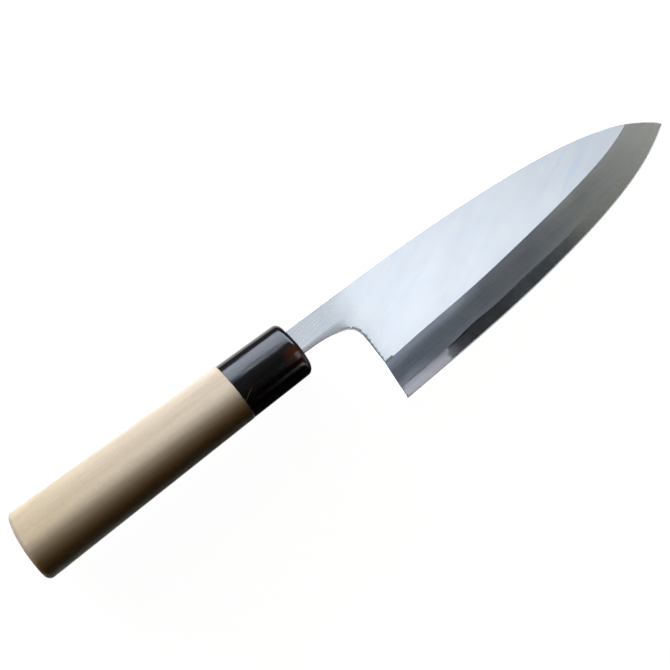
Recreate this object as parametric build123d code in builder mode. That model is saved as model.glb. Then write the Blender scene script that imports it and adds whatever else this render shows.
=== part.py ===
from build123d import *
import math
import os

# ---------------------------------------------------------------------------
# Deba: single-bevel fish knife, about 165 mm blade, horn ferrule, wooden
# handle of D section.  Millimetres.
#
# Knife coordinates (u, v, w) used by every table below:
#   u  along the handle axis, 0 at the front face of the ferrule, + to the tip
#   v  + towards the spine, - towards the cutting edge
#   w  + out of the face with the bevel (front), - out of the hollow back
# The knife lies on its back: a small worn land under the ferrule and the edge
# near the tip touch the surface, so the knife coordinates are rolled and pitched
# a little in the world.  World: +X to the tip, +Y to the spine, +Z up, origin in
# the middle of the footprint, on the surface.
# ---------------------------------------------------------------------------

# pose on the surface
ROLL = 5.4468          # degrees about the handle axis, edge down
PITCH = 1.3285         # degrees, tip down
ORIGIN = (-34.118, 14.859, 9.9645)   # ferrule's front centre in the world

# handle
HANDLE_L = 126.4       # crown of the butt to ferrule front
FERRULE_L = 29.95
H_BUTT = 14.35         # half heights of the D section
H_MID = 13.45
H_JOINT = 12.55
H_FRONT = 12.15
W_RATIO = 0.84         # half width over half height
DOME_R = 77.0          # radius of the domed butt
DOME_V, DOME_W = -4.6, 2.0   # its crown, below the middle
BUTT_R = 2.2           # rounded edge of the butt
FRONT_R = 2.6          # rounded front edge of the ferrule

# tenon of the handle inside the ferrule, and the tang slot
TENON_V = 9.3          # half height of the oval tenon
TENON_W = 7.0          # half width
TENON_L = 22.0
GLUE_GAP = 0.12        # glue line round the tenon
END_GAP = 0.3          # room in front of the tenon
SLOT_GAP = 0.2         # room round the tang in the wood
MOUTH_GAP = 0.45       # slot in the horn round the neck, filled with pitch

# blade
W_BACK = -3.2          # flat back plane
T_HEEL = 6.6           # thickness at the heel, u = 25
T_TIP = 2.4            # thickness at u = 190 before the bevel is ground
EDGE_LAND = 0.15       # thickness left at the cutting edge
BACK_CHAMFER = 0.3     # spine, on the back side
CHOIL_FRONT_R = 1.0    # rounding of the neck and choil, front side
CHOIL_BACK_R = 0.5     # the same, back side
NECK_U = -4.0          # the neck goes straight into the ferrule this far
NECK_TOP = 7.6
NECK_BOTTOM = -4.15
NECK_T = 6.2           # thickness where it enters the ferrule

# tang
TANG_END = -101.0
TANG_ROOT = (5.9, -3.3, 2.9)   # upper v, lower v, half thickness at u = NECK_U
TANG_TAIL = (3.1, -2.5, 1.6)   # the same at the end

# spine, edge, ridge line (between flat and bevel): (u, v)
SPINE = [(42.0, 7.6), (60.0, 7.3), (80.0, 6.6), (100.0, 5.45), (120.0, 3.8),
         (140.0, 1.35), (155.0, -1.4), (168.0, -5.0), (178.0, -8.8),
         (186.0, -12.75), (191.0, -15.75), (194.2, -18.15)]
TIP_MID = (194.75, -18.85)
EDGE = [(194.1, -19.5), (191.0, -21.25), (186.0, -23.75), (178.0, -27.1),
        (168.0, -30.3), (155.0, -33.45), (140.0, -36.2), (120.0, -38.9),
        (100.0, -41.0), (80.0, -42.45), (60.0, -43.4), (40.0, -44.05),
        (25.9, -44.5)]
CHOIL = [(24.75, -15.5), (24.35, -11.8), (22.75, -8.7), (19.6, -6.6),
         (15.3, -5.3), (10.5, -4.55), (4.0, -4.2)]
# stations of the bevel: point on the edge, point on the ridge line
BEVEL = [((8.0, -45.0), (7.6, -28.3)), ((25.9, -44.5), (25.2, -26.85)),
         ((45.0, -43.9), (44.2, -25.6)), ((65.0, -43.2), (64.0, -24.7)),
         ((85.0, -42.15), (83.6, -23.5)), ((105.0, -40.55), (103.1, -21.75)),
         ((125.0, -38.3), (122.3, -19.8)), ((143.0, -35.7), (139.5, -17.75)),
         ((158.0, -32.75), (153.7, -15.6)), ((170.0, -29.75), (164.6, -13.35)),
         ((180.0, -26.35), (173.3, -10.85)), ((188.0, -22.8), (179.9, -8.35)),
         ((194.1, -19.5), (184.8, -6.25)), ((200.0, -15.9), (189.8, -3.6))]
# thickness of the hard steel above the back plane: (u, thickness)
LAMINATE = [(4.0, -0.8), (10.0, 0.6), (18.0, 1.75), (30.0, 2.13), (45.0, 2.02),
            (54.0, 1.92), (65.0, 2.05), (80.0, 1.84), (92.0, 1.81),
            (104.0, 1.69), (116.0, 1.51), (130.0, 1.36), (150.0, 1.13),
            (170.0, 0.90), (185.0, 0.72), (204.0, 0.55)]
# hollow of the back: depth in the middle and width of the flat rim
HOLLOW_DEPTH = 0.42
RIM_EDGE = 2.4
RIM_SPINE = 2.2
HOLLOW_U = (31.0, 189.0)

# D section: (v over half height, w over half width), long flat side above, a
# rounded ridge just below the middle of the front side, plain oval on the back
D_SECTION = [(-0.20, 1.112), (-0.40, 1.092), (-0.58, 1.030), (-0.74, 0.915),
             (-0.875, 0.715), (-0.97, 0.42), (-1.0, 0.12), (-0.965, -0.22),
             (-0.86, -0.50), (-0.66, -0.76), (-0.36, -0.94), (0.0, -1.0),
             (0.38, -0.93), (0.707, -0.72), (0.92, -0.40), (1.0, 0.0),
             (0.965, 0.22), (0.87, 0.43), (0.73, 0.595), (0.55, 0.755),
             (0.36, 0.90), (0.18, 1.02), (0.0, 1.092)]


# ---------------------------------------------------------------------------
# planes of the knife coordinates in the world
# ---------------------------------------------------------------------------
cr, sr = math.cos(math.radians(ROLL)), math.sin(math.radians(ROLL))
cp, sp = math.cos(math.radians(PITCH)), math.sin(math.radians(PITCH))
DIR_U = Vector(cp, 0.0, -sp)
DIR_V = Vector(sp * sr, cr, cp * sr)
DIR_W = DIR_U.cross(DIR_V)

knife = Plane(origin=ORIGIN, x_dir=DIR_U, z_dir=DIR_W)


def at(u, v, w):
    """World point of a knife point."""
    return knife.from_local_coords(Vector(u, v, w))


def across(u):
    """Plane across the handle axis at u: sketch x is v, sketch y is w."""
    return Plane(origin=at(u, 0, 0), x_dir=DIR_V, z_dir=DIR_U)


def side(v):
    """Plane along the handle axis at v: sketch x is u, sketch y is w."""
    return Plane(origin=at(0, v, 0), x_dir=DIR_U, z_dir=-DIR_V)


def top_of_blade(u):
    """Height w of the flat front face."""
    return W_BACK + T_HEEL - (u - 25.0) * (T_HEEL - T_TIP) / 165.0


def between(table, u):
    """Straight-line reading of a (u, value) table."""
    t = sorted(table)
    if u <= t[0][0]:
        return t[0][1]
    for (u0, a), (u1, b) in zip(t, t[1:]):
        if u <= u1:
            return a + (b - a) * (u - u0) / (u1 - u0)
    return t[-1][1]


def hollow_height(u, v):
    """Height w of the ground back face, above W_BACK inside the hollow."""
    low = between(EDGE, u) + RIM_EDGE
    high = (NECK_TOP if u < 42.0 else between(SPINE, u)) - RIM_SPINE
    mid, half = (low + high) / 2.0, max((high - low) / 2.0, 2.0)
    a, b = HOLLOW_U
    along = 1.0 - abs((u - (a + b) / 2.0) / ((b - a) / 2.0)) ** 4
    depth = HOLLOW_DEPTH * min(1.0, (half / 20.0) ** 0.8)
    q = abs((v - mid) / half) ** 2.6
    d = depth * (along if along < 0 else along * 1.0) - depth * q
    return W_BACK + max(d, -0.6)


def reading(edge, k):
    """Knife point at the share k of an edge's length."""
    return knife.to_local_coords(edge @ k)


def lies_along(edge):
    """True for an edge of some length that stays at about one height."""
    a, b = reading(edge, 0.0), reading(edge, 1.0)
    return abs(a.Z - b.Z) < 1.5 and abs(a.X - b.X) + abs(a.Y - b.Y) > 3.0


def on_spine(edge):
    """True for an edge that follows the spine's outline."""
    for k in (0.02, 0.5, 0.98):
        p = reading(edge, k)
        if p.Y < (NECK_TOP - 0.05 if p.X < 42.01 else between(SPINE, p.X) - 0.3):
            return False
    return True


def on_choil(edge):
    """True for an edge along the under side of the neck and the choil."""
    m = reading(edge, 0.5)
    return m.X < 26.0 and -26.0 < m.Y < -4.0


# ---------------------------------------------------------------------------
# blade blank: plan outline, front face, bevel
# ---------------------------------------------------------------------------
bevel_rows = []
for (eu, ev), (su, sv) in BEVEL:
    ez, sz = W_BACK + EDGE_LAND, top_of_blade(su)
    bevel_rows.append([at(eu + (su - eu) * k, ev + (sv - ev) * k, ez + (sz - ez) * k)
                       for k in (-0.3, 0.15, 0.6, 1.05, 1.5)])
bevel_face = Face.make_surface_from_array_of_points(bevel_rows, tol=0.01, min_deg=1, max_deg=3)
bevel_cutter = Solid.extrude(bevel_face, DIR_W * 20.0)

with BuildPart() as blank:
    with BuildSketch(knife.offset(W_BACK)):
        with BuildLine():
            Line((NECK_U, NECK_TOP), SPINE[0])
            Spline(*SPINE, tangents=[(1.0, 0.0), (0.72, -0.69)])
            ThreePointArc(SPINE[-1], TIP_MID, EDGE[0])
            Spline(*EDGE)
            Line(EDGE[-1], CHOIL[0])
            Spline(*CHOIL, tangents=[(-0.04, 1.0), (-1.0, 0.02)])
            Line(CHOIL[-1], (NECK_U, NECK_BOTTOM))
            Line((NECK_U, NECK_BOTTOM), (NECK_U, NECK_TOP))
        make_face()
    extrude(amount=9.0)
    # front face: flat along the blade, easing down a little along the neck
    with BuildSketch(side(30.0)):
        with BuildLine():
            Line((NECK_U - 1.0, W_BACK - 1.0), (210.0, W_BACK - 1.0))
            Line((210.0, W_BACK - 1.0), (210.0, top_of_blade(210.0)))
            Line((210.0, top_of_blade(210.0)), (30.0, top_of_blade(30.0)))
            Spline((30.0, top_of_blade(30.0)), (18.0, 3.3), (6.0, 3.05),
                   (NECK_U - 1.0, 3.0),
                   tangents=[(-1.0, 0.0255), (-1.0, 0.0)])
            Line((NECK_U - 1.0, 3.0), (NECK_U - 1.0, W_BACK - 1.0))
        make_face()
    extrude(amount=100.0, mode=Mode.INTERSECT)
    # eased edges: back of the spine, both sides of the neck and choil
    along = [e for e in blank.edges() if lies_along(e)]
    back_level = [e for e in along if abs(reading(e, 0.5).Z - W_BACK) < 0.01]
    chamfer([e for e in back_level if on_spine(e)], length=BACK_CHAMFER)
    along = [e for e in blank.edges() if lies_along(e)]
    fillet([e for e in along if on_choil(e) and reading(e, 0.5).Z > 2.5], radius=CHOIL_FRONT_R)
    along = [e for e in blank.edges() if lies_along(e)]
    fillet([e for e in along if on_choil(e) and abs(reading(e, 0.5).Z - W_BACK) < 0.01],
           radius=CHOIL_BACK_R)
    add(bevel_cutter, mode=Mode.SUBTRACT)

# hollow grinding of the back
hollow_rows = []
for i in range(23):
    u = 18.0 + 8.0 * i
    hollow_rows.append([at(u, -54.0 + 4.5 * j, hollow_height(u, -54.0 + 4.5 * j))
                        for j in range(15)])
hollow_face = Face.make_surface_from_array_of_points(hollow_rows, tol=0.01, min_deg=3, max_deg=3)
hollow_cutter = Solid.extrude(hollow_face, DIR_W * -6.0)

# region of the hard steel: everything under the weld surface
with BuildPart() as weld:
    with BuildSketch(side(30.0)):
        with BuildLine():
            Spline(*[(u, W_BACK + t) for u, t in LAMINATE])
            Line((LAMINATE[-1][0], W_BACK + LAMINATE[-1][1]), (LAMINATE[-1][0], W_BACK - 2.0))
            Line((LAMINATE[-1][0], W_BACK - 2.0), (LAMINATE[0][0], W_BACK - 2.0))
            Line((LAMINATE[0][0], W_BACK - 2.0), (LAMINATE[0][0], W_BACK + LAMINATE[0][1]))
        make_face()
    extrude(amount=100.0)

# ---------------------------------------------------------------------------
# hard steel: the back plate that carries the edge
# ---------------------------------------------------------------------------
with BuildPart() as blade_steel:
    add(blank.part)
    add(weld.part, mode=Mode.INTERSECT)
    add(hollow_cutter, mode=Mode.SUBTRACT)
blade_steel.part.label = "blade_steel"

# ---------------------------------------------------------------------------
# soft iron: body of the blade, neck and tang in one forging
# ---------------------------------------------------------------------------
with BuildPart() as blade_iron:
    add(blank.part)
    add(weld.part, mode=Mode.SUBTRACT)
    # tang: tapers in both directions
    for u, (vt, vb, hw) in ((NECK_U, TANG_ROOT), (TANG_END, TANG_TAIL)):
        with BuildSketch(across(u)):
            with Locations(((vt + vb) / 2.0, 0.0)):
                Rectangle(vt - vb, 2.0 * hw)
    loft(ruled=True)
blade_iron.part.label = "blade_iron"


# ---------------------------------------------------------------------------
# handle: one piece of wood, tenon and burnt-in tang slot
# ---------------------------------------------------------------------------
def d_points(half):
    return [(v * half, w * half * W_RATIO) for v, w in D_SECTION]


with BuildPart() as handle_wood:
    for u, half in ((-HANDLE_L - 1.0, H_BUTT), (-(HANDLE_L + FERRULE_L) / 2.0, H_MID),
                    (-FERRULE_L, H_JOINT)):
        with BuildSketch(across(u)):
            with BuildLine():
                Spline(*d_points(half), periodic=True)
            make_face()
    loft()
    # domed butt
    with Locations(at(-HANDLE_L + DOME_R, DOME_V, DOME_W)):
        Sphere(DOME_R, mode=Mode.INTERSECT)
    butt_rim = handle_wood.faces().sort_by(Axis((0, 0, 0), DIR_U))[0].edges()
    fillet(butt_rim, radius=BUTT_R)
    # oval tenon
    with BuildSketch(across(-FERRULE_L)):
        Ellipse(TENON_V, TENON_W)
    extrude(amount=TENON_L - END_GAP)
    # slot burnt to the shape of the tang
    a = TANG_ROOT
    b = TANG_TAIL
    for u, (vt, vb, hw) in ((NECK_U, a), (TANG_END - 2.0, b)):
        with BuildSketch(across(u), mode=Mode.PRIVATE) as s:
            with Locations(((vt + vb) / 2.0, 0.0)):
                Rectangle(vt - vb + 2 * SLOT_GAP, 2.0 * (hw + SLOT_GAP))
        if u == NECK_U:
            mouth = s.sketch
        else:
            floor = s.sketch
    tang_slot = loft([mouth.face(), floor.face()], ruled=True, mode=Mode.PRIVATE)
    add(tang_slot, mode=Mode.SUBTRACT)
handle_wood.part.label = "handle_wood"

# ---------------------------------------------------------------------------
# ferrule: ring of buffalo horn, closed in front except the tang slot
# ---------------------------------------------------------------------------
with BuildPart() as horn_ferrule:
    for u, half in ((-FERRULE_L, H_JOINT), (-FERRULE_L / 2.0, (H_JOINT + H_FRONT) / 2.0 + 0.03),
                    (0.0, H_FRONT)):
        with BuildSketch(across(u)):
            with BuildLine():
                Spline(*d_points(half), periodic=True)
            make_face()
    loft()
    front_rim = horn_ferrule.faces().sort_by(Axis((0, 0, 0), DIR_U))[-1].edges()
    fillet(front_rim, radius=FRONT_R)
    # land worn on the underside where the knife lies on the ferrule
    with BuildSketch(Plane.XY):
        with Locations((ORIGIN[0] - FERRULE_L / 2.0, ORIGIN[1])):
            Rectangle(FERRULE_L + 40.0, 60.0)
    extrude(amount=-10.0, mode=Mode.SUBTRACT)
    # bore for the tenon, blind
    with BuildSketch(across(-FERRULE_L)):
        Ellipse(TENON_V + GLUE_GAP, TENON_W + GLUE_GAP)
    extrude(amount=TENON_L, mode=Mode.SUBTRACT)
    # mouth for the neck of the blade
    with BuildSketch(across(-FERRULE_L + TENON_L)) as mouth_sketch:
        with Locations(((NECK_TOP + NECK_BOTTOM) / 2.0, -0.1)):
            RectangleRounded(NECK_TOP - NECK_BOTTOM + 2 * MOUTH_GAP,
                             NECK_T + 2 * MOUTH_GAP, 0.8)
    extrude(amount=FERRULE_L - TENON_L + 1.0, mode=Mode.SUBTRACT)
horn_ferrule.part.label = "horn_ferrule"

# ---------------------------------------------------------------------------
# pitch: fills the mouth of the ferrule round the neck of the blade
# ---------------------------------------------------------------------------
with BuildPart() as tang_seal:
    with BuildSketch(across(-FERRULE_L + TENON_L)):
        with Locations(((NECK_TOP + NECK_BOTTOM) / 2.0, -0.1)):
            RectangleRounded(NECK_TOP - NECK_BOTTOM + 2 * MOUTH_GAP,
                             NECK_T + 2 * MOUTH_GAP, 0.8)
    extrude(amount=FERRULE_L - TENON_L - 0.5)
    add(blade_iron.part, mode=Mode.SUBTRACT)
tang_seal.part.label = "tang_seal"

os.makedirs("parts", exist_ok=True)
export_step(blade_iron.part, "parts/blade_iron.step")
export_step(blade_steel.part, "parts/blade_steel.step")
export_step(horn_ferrule.part, "parts/horn_ferrule.step")
export_step(handle_wood.part, "parts/handle_wood.step")
export_step(tang_seal.part, "parts/tang_seal.step")
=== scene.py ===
import math

import bpy
import numpy as np
from mathutils import Matrix, Vector
from mathutils.geometry import delaunay_2d_cdt

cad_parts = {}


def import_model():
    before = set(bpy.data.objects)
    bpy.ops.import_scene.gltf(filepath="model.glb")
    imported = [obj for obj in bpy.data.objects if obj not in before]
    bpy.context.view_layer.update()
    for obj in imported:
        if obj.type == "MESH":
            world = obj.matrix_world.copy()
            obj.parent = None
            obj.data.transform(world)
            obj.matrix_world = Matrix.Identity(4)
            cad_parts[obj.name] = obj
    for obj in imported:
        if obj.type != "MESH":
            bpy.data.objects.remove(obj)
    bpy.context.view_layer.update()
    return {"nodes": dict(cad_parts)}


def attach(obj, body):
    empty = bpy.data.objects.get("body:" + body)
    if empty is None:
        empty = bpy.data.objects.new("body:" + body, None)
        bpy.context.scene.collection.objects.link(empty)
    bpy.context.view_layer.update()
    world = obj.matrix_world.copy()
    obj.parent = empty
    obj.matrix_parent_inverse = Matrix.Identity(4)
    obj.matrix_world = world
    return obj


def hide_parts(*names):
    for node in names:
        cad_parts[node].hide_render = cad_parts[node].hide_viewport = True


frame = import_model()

# ---------------------------------------------------------------------------
# Knife coordinates, as in the CAD: u along the handle axis to the tip (0 at the
# ferrule's front), v towards the spine, w out of the bevelled face.  Tables are
# in millimetres; meshes are in metres in the row frame.
# ---------------------------------------------------------------------------
ROLL, PITCH = math.radians(5.4468), math.radians(1.3285)
ORIGIN = np.array([-34.118, 14.859, 9.9645])
U = np.array([math.cos(PITCH), 0.0, -math.sin(PITCH)])
V = np.array([math.sin(PITCH) * math.sin(ROLL), math.cos(ROLL), math.cos(PITCH) * math.sin(ROLL)])
W = np.cross(U, V)

HANDLE_L, FERRULE_L = 126.4, 29.95
H_BUTT, H_JOINT, H_FRONT, W_RATIO = 14.35, 12.55, 12.15, 0.84
DOME_R, DOME_V, DOME_W = 77.0, -4.6, 2.0
BUTT_R, FRONT_R = 2.2, 2.6
TENON_V, TENON_W, TENON_L = 9.3, 7.0, 22.0
GLUE_GAP, END_GAP, SLOT_GAP, MOUTH_GAP = 0.12, 0.3, 0.2, 0.45
W_BACK = -3.2
NECK_TOP, NECK_BOTTOM, NECK_T = 7.6, -4.15, 6.2
NECK_U = -4.0
TANG_END = -101.0
TANG_ROOT, TANG_TAIL = (5.9, -3.3, 2.9), (3.1, -2.5, 1.6)

SPINE = [(42.0, 7.6), (60.0, 7.3), (80.0, 6.6), (100.0, 5.45), (120.0, 3.8),
         (140.0, 1.35), (155.0, -1.4), (168.0, -5.0), (178.0, -8.8),
         (186.0, -12.75), (191.0, -15.75), (194.2, -18.15)]
TIP = [(194.2, -18.15), (194.62, -18.48), (194.75, -18.85), (194.6, -19.2), (194.1, -19.5)]
EDGE = [(194.1, -19.5), (191.0, -21.25), (186.0, -23.75), (178.0, -27.1),
        (168.0, -30.3), (155.0, -33.45), (140.0, -36.2), (120.0, -38.9),
        (100.0, -41.0), (80.0, -42.45), (60.0, -43.4), (40.0, -44.05),
        (25.9, -44.5)]
CHOIL = [(24.75, -15.5), (24.35, -11.8), (22.75, -8.7), (19.6, -6.6),
         (15.3, -5.3), (10.5, -4.55), (4.0, -4.2)]
BEVEL = [((8.0, -45.0), (7.6, -28.3)), ((25.9, -44.5), (25.2, -26.85)),
         ((45.0, -43.9), (44.2, -25.6)), ((65.0, -43.2), (64.0, -24.7)),
         ((85.0, -42.15), (83.6, -23.5)), ((105.0, -40.55), (103.1, -21.75)),
         ((125.0, -38.3), (122.3, -19.8)), ((143.0, -35.7), (139.5, -17.75)),
         ((158.0, -32.75), (153.7, -15.6)), ((170.0, -29.75), (164.6, -13.35)),
         ((180.0, -26.35), (173.3, -10.85)), ((188.0, -22.8), (179.9, -8.35)),
         ((194.1, -19.5), (184.8, -6.25)), ((200.0, -15.9), (189.8, -3.6))]
LAMINATE = [(4.0, -0.8), (10.0, 0.6), (18.0, 1.75), (30.0, 2.13), (45.0, 2.02),
            (54.0, 1.92), (65.0, 2.05), (80.0, 1.84), (92.0, 1.81),
            (104.0, 1.69), (116.0, 1.51), (130.0, 1.36), (150.0, 1.13),
            (170.0, 0.90), (185.0, 0.72), (204.0, 0.55)]
HOLLOW_DEPTH, RIM_EDGE, RIM_SPINE, HOLLOW_U = 0.42, 2.4, 2.2, (31.0, 189.0)
D_SECTION = [(-0.20, 1.112), (-0.40, 1.092), (-0.58, 1.030), (-0.74, 0.915),
             (-0.875, 0.715), (-0.97, 0.42), (-1.0, 0.12), (-0.965, -0.22),
             (-0.86, -0.50), (-0.66, -0.76), (-0.36, -0.94), (0.0, -1.0),
             (0.38, -0.93), (0.707, -0.72), (0.92, -0.40), (1.0, 0.0),
             (0.965, 0.22), (0.87, 0.43), (0.73, 0.595), (0.55, 0.755),
             (0.36, 0.90), (0.18, 1.02), (0.0, 1.092)]

# finish of the metal edges on the visual mesh
EDGE_LAND, BEVEL_FOOT = 0.03, 0.15
MICRO_W = 0.55
CHAMFER_FRONT, CHAMFER_BACK = 0.32, 0.30


def world(p):
    """Metres in the row frame of knife points (N, 3)."""
    p = np.asarray(p, float)
    return (ORIGIN + p[..., 0:1] * U + p[..., 1:2] * V + p[..., 2:3] * W) / 1000.0


def curve(points, count=600, start=None, end=None, closed=False):
    """Dense polyline of the smooth cubic through the points."""
    p = np.array(points, float)
    if closed:
        p = np.vstack([p, p[:1]])
    h = np.hypot(*np.diff(p, axis=0).T)
    s = np.concatenate([[0.0], np.cumsum(h)])
    n = len(p)
    a, b = np.zeros((n, n)), np.zeros((n, 2))
    for i in range(1, n - 1):
        a[i, i - 1], a[i, i], a[i, i + 1] = h[i], 2 * (h[i - 1] + h[i]), h[i - 1]
        b[i] = 3 * (h[i] * (p[i] - p[i - 1]) / h[i - 1] + h[i - 1] * (p[i + 1] - p[i]) / h[i])
    if closed:
        a[0, 0], a[0, -1] = 1.0, -1.0
        a[-1, 0] += 4 / h[0]
        a[-1, 1] += 2 / h[0]
        a[-1, -2] += 2 / h[-1]
        a[-1, -1] += 4 / h[-1]
        b[-1] = 6 * (p[1] - p[0]) / h[0] ** 2 + 6 * (p[-1] - p[-2]) / h[-1] ** 2
    else:
        if start is None:
            a[0, 0], a[0, 1], b[0] = 2.0, 1.0, 3 * (p[1] - p[0]) / h[0]
        else:
            a[0, 0], b[0] = 1.0, np.array(start) / np.hypot(*start)
        if end is None:
            a[-1, -2], a[-1, -1], b[-1] = 1.0, 2.0, 3 * (p[-1] - p[-2]) / h[-1]
        else:
            a[-1, -1], b[-1] = 1.0, np.array(end) / np.hypot(*end)
    m = np.linalg.solve(a, b)
    t = np.linspace(0, s[-1], count)
    i = np.clip(np.searchsorted(s, t, side="right") - 1, 0, n - 2)
    x = ((t - s[i]) / h[i])[:, None]
    hi_ = h[i][:, None]
    return (p[i] * (1 + 2 * x) * (1 - x) ** 2 + hi_ * m[i] * x * (1 - x) ** 2
            + p[i + 1] * x ** 2 * (3 - 2 * x) + hi_ * m[i + 1] * x ** 2 * (x - 1))


def respace(line, step):
    """The polyline again with points about step apart, ends kept."""
    line = np.asarray(line, float)
    s = np.concatenate([[0.0], np.cumsum(np.hypot(*np.diff(line, axis=0).T))])
    t = np.linspace(0, s[-1], max(2, int(round(s[-1] / step)) + 1))
    return np.stack([np.interp(t, s, line[:, 0]), np.interp(t, s, line[:, 1])], 1)


def nearest(p, line, reach=None):
    """Distance of each point to a polyline, and where along it (0 to 1).

    With a reach, points farther away than that get a rough distance only."""
    if reach is not None:
        rough = line[::10] if len(line) > 40 else line
        rough = np.vstack([rough, line[-1:]])
        gap = np.hypot(*np.diff(rough, axis=0).T).max()
        far = np.full(len(p), 1e9)
        for start in range(0, len(p), 20000):
            q = p[start:start + 20000]
            far[start:start + 20000] = np.sqrt(((q[:, None] - rough) ** 2).sum(2).min(1))
        close = far < reach + gap
        where = np.zeros(len(p))
        if close.any():
            far[close], where[close] = nearest(p[close], line)
        return far, where
    a, b = line[:-1], line[1:]
    d = b - a
    n2 = (d ** 2).sum(1)
    s = np.concatenate([[0.0], np.cumsum(np.sqrt(n2))])
    best, where = np.full(len(p), 1e9), np.zeros(len(p))
    for start in range(0, len(p), 2000):
        q = p[start:start + 2000]
        t = np.clip((((q[:, None] - a) * d).sum(2)) / n2, 0, 1)
        r = np.sqrt((((a + t[..., None] * d) - q[:, None]) ** 2).sum(2))
        j = r.argmin(1)
        k = np.arange(len(q))
        best[start:start + 2000] = r[k, j]
        where[start:start + 2000] = (s[j] + t[k, j] * np.sqrt(n2[j])) / s[-1]
    return best, where


def smooth(x, a, b):
    t = np.clip((x - a) / (b - a), 0, 1)
    return t * t * (3 - 2 * t)


# ---------------------------------------------------------------------------
# surfaces of the blade as heights over (u, v)
# ---------------------------------------------------------------------------
spine_line = curve(SPINE, 800, (1.0, 0.0), (0.72, -0.69))
edge_line = curve(EDGE, 900)
choil_line = curve(CHOIL, 300, (-0.04, 1.0), (-1.0, 0.02))
laminate_line = curve(LAMINATE, 800)
neck_line = curve([(-5.0, 3.0), (6.0, 3.05), (18.0, 3.3), (30.0, 3.2727)], 300, (1.0, 0.0), (1.0, -0.0255))
heel_line = np.array([EDGE[-1], CHOIL[0]])
upper_line = np.vstack([[(NECK_U, NECK_TOP)], spine_line])
lower_line = np.vstack([heel_line, choil_line[1:], [(NECK_U, NECK_BOTTOM)]])

station = np.linspace(0, len(BEVEL) - 1, 1301)


def through(values):
    """Smooth reading of station values at the fine stations."""
    q = np.stack([np.arange(len(values)) * 10.0, np.array(values, float)], 1)
    c = curve(q, 2600)
    return np.interp(station * 10.0, c[:, 0], c[:, 1])


foot = np.stack([through([e[0] for e, _ in BEVEL]), through([e[1] for e, _ in BEVEL])], 1)
ridge = np.stack([through([r[0] for _, r in BEVEL]), through([r[1] for _, r in BEVEL])], 1)


def flat_height(u):
    """Front face: straight taper along the blade, eased along the neck."""
    u = np.asarray(u, float)
    straight = W_BACK + 6.6 - (u - 25.0) * 4.2 / 165.0
    neck = np.interp(u, neck_line[:, 0], neck_line[:, 1])
    return np.where(u < 30.0, neck, straight)


def bevel_reading(p):
    """For points (N, 2): share k from the foot (0) to the ridge (1), and the local width."""
    lo_, hi_ = np.zeros(len(p)), np.full(len(p), len(station) - 1.0)
    idx = np.arange(len(station))

    def at(x):
        f = np.stack([np.interp(x, idx, foot[:, 0]), np.interp(x, idx, foot[:, 1])], 1)
        r = np.stack([np.interp(x, idx, ridge[:, 0]), np.interp(x, idx, ridge[:, 1])], 1)
        return f, r

    for _ in range(26):
        mid = (lo_ + hi_) / 2
        f, r = at(mid)
        d = r - f
        side = d[:, 0] * (p[:, 1] - f[:, 1]) - d[:, 1] * (p[:, 0] - f[:, 0])
        ahead = side < 0
        lo_, hi_ = np.where(ahead, mid, lo_), np.where(ahead, hi_, mid)
    f, r = at((lo_ + hi_) / 2)
    d = r - f
    width = np.hypot(d[:, 0], d[:, 1])
    return ((p - f) * d).sum(1) / width ** 2, width, r[:, 0]


def bevel_height(p):
    k, width, ru = bevel_reading(p)
    top = W_BACK + 6.6 - (ru - 25.0) * 4.2 / 165.0
    return W_BACK + BEVEL_FOOT + (top - W_BACK - BEVEL_FOOT) * k, k, width, (top - W_BACK - BEVEL_FOOT) / width


def weld_height(u):
    return W_BACK + np.interp(u, laminate_line[:, 0], laminate_line[:, 1])


def hollow_raw(p):
    """Height of the ground hollow over the back plane, negative outside its rim."""
    u, v = p[:, 0], p[:, 1]
    low = np.interp(u, edge_line[::-1, 0], edge_line[::-1, 1]) + RIM_EDGE
    high = np.where(u < 42.0, NECK_TOP, np.interp(u, spine_line[:, 0], spine_line[:, 1])) - RIM_SPINE
    mid, half = (low + high) / 2, np.maximum((high - low) / 2, 2.0)
    a, b = HOLLOW_U
    along = 1 - np.abs((u - (a + b) / 2) / ((b - a) / 2)) ** 4
    depth = HOLLOW_DEPTH * np.minimum(1.0, (half / 20.0) ** 0.8)
    return depth * along - depth * np.abs((v - mid) / half) ** 2.6


def corner_radius(s):
    """Rounding of the front edge along the heel, choil and neck; s from the heel's foot to the neck."""
    return np.interp(s, [0.0, 0.38, 0.46, 0.54, 0.62, 0.71, 0.80, 0.88, 1.0],
                     [0.13, 0.14, 0.38, 0.66, 0.96, 1.26, 1.35, 1.15, 0.9])


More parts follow.
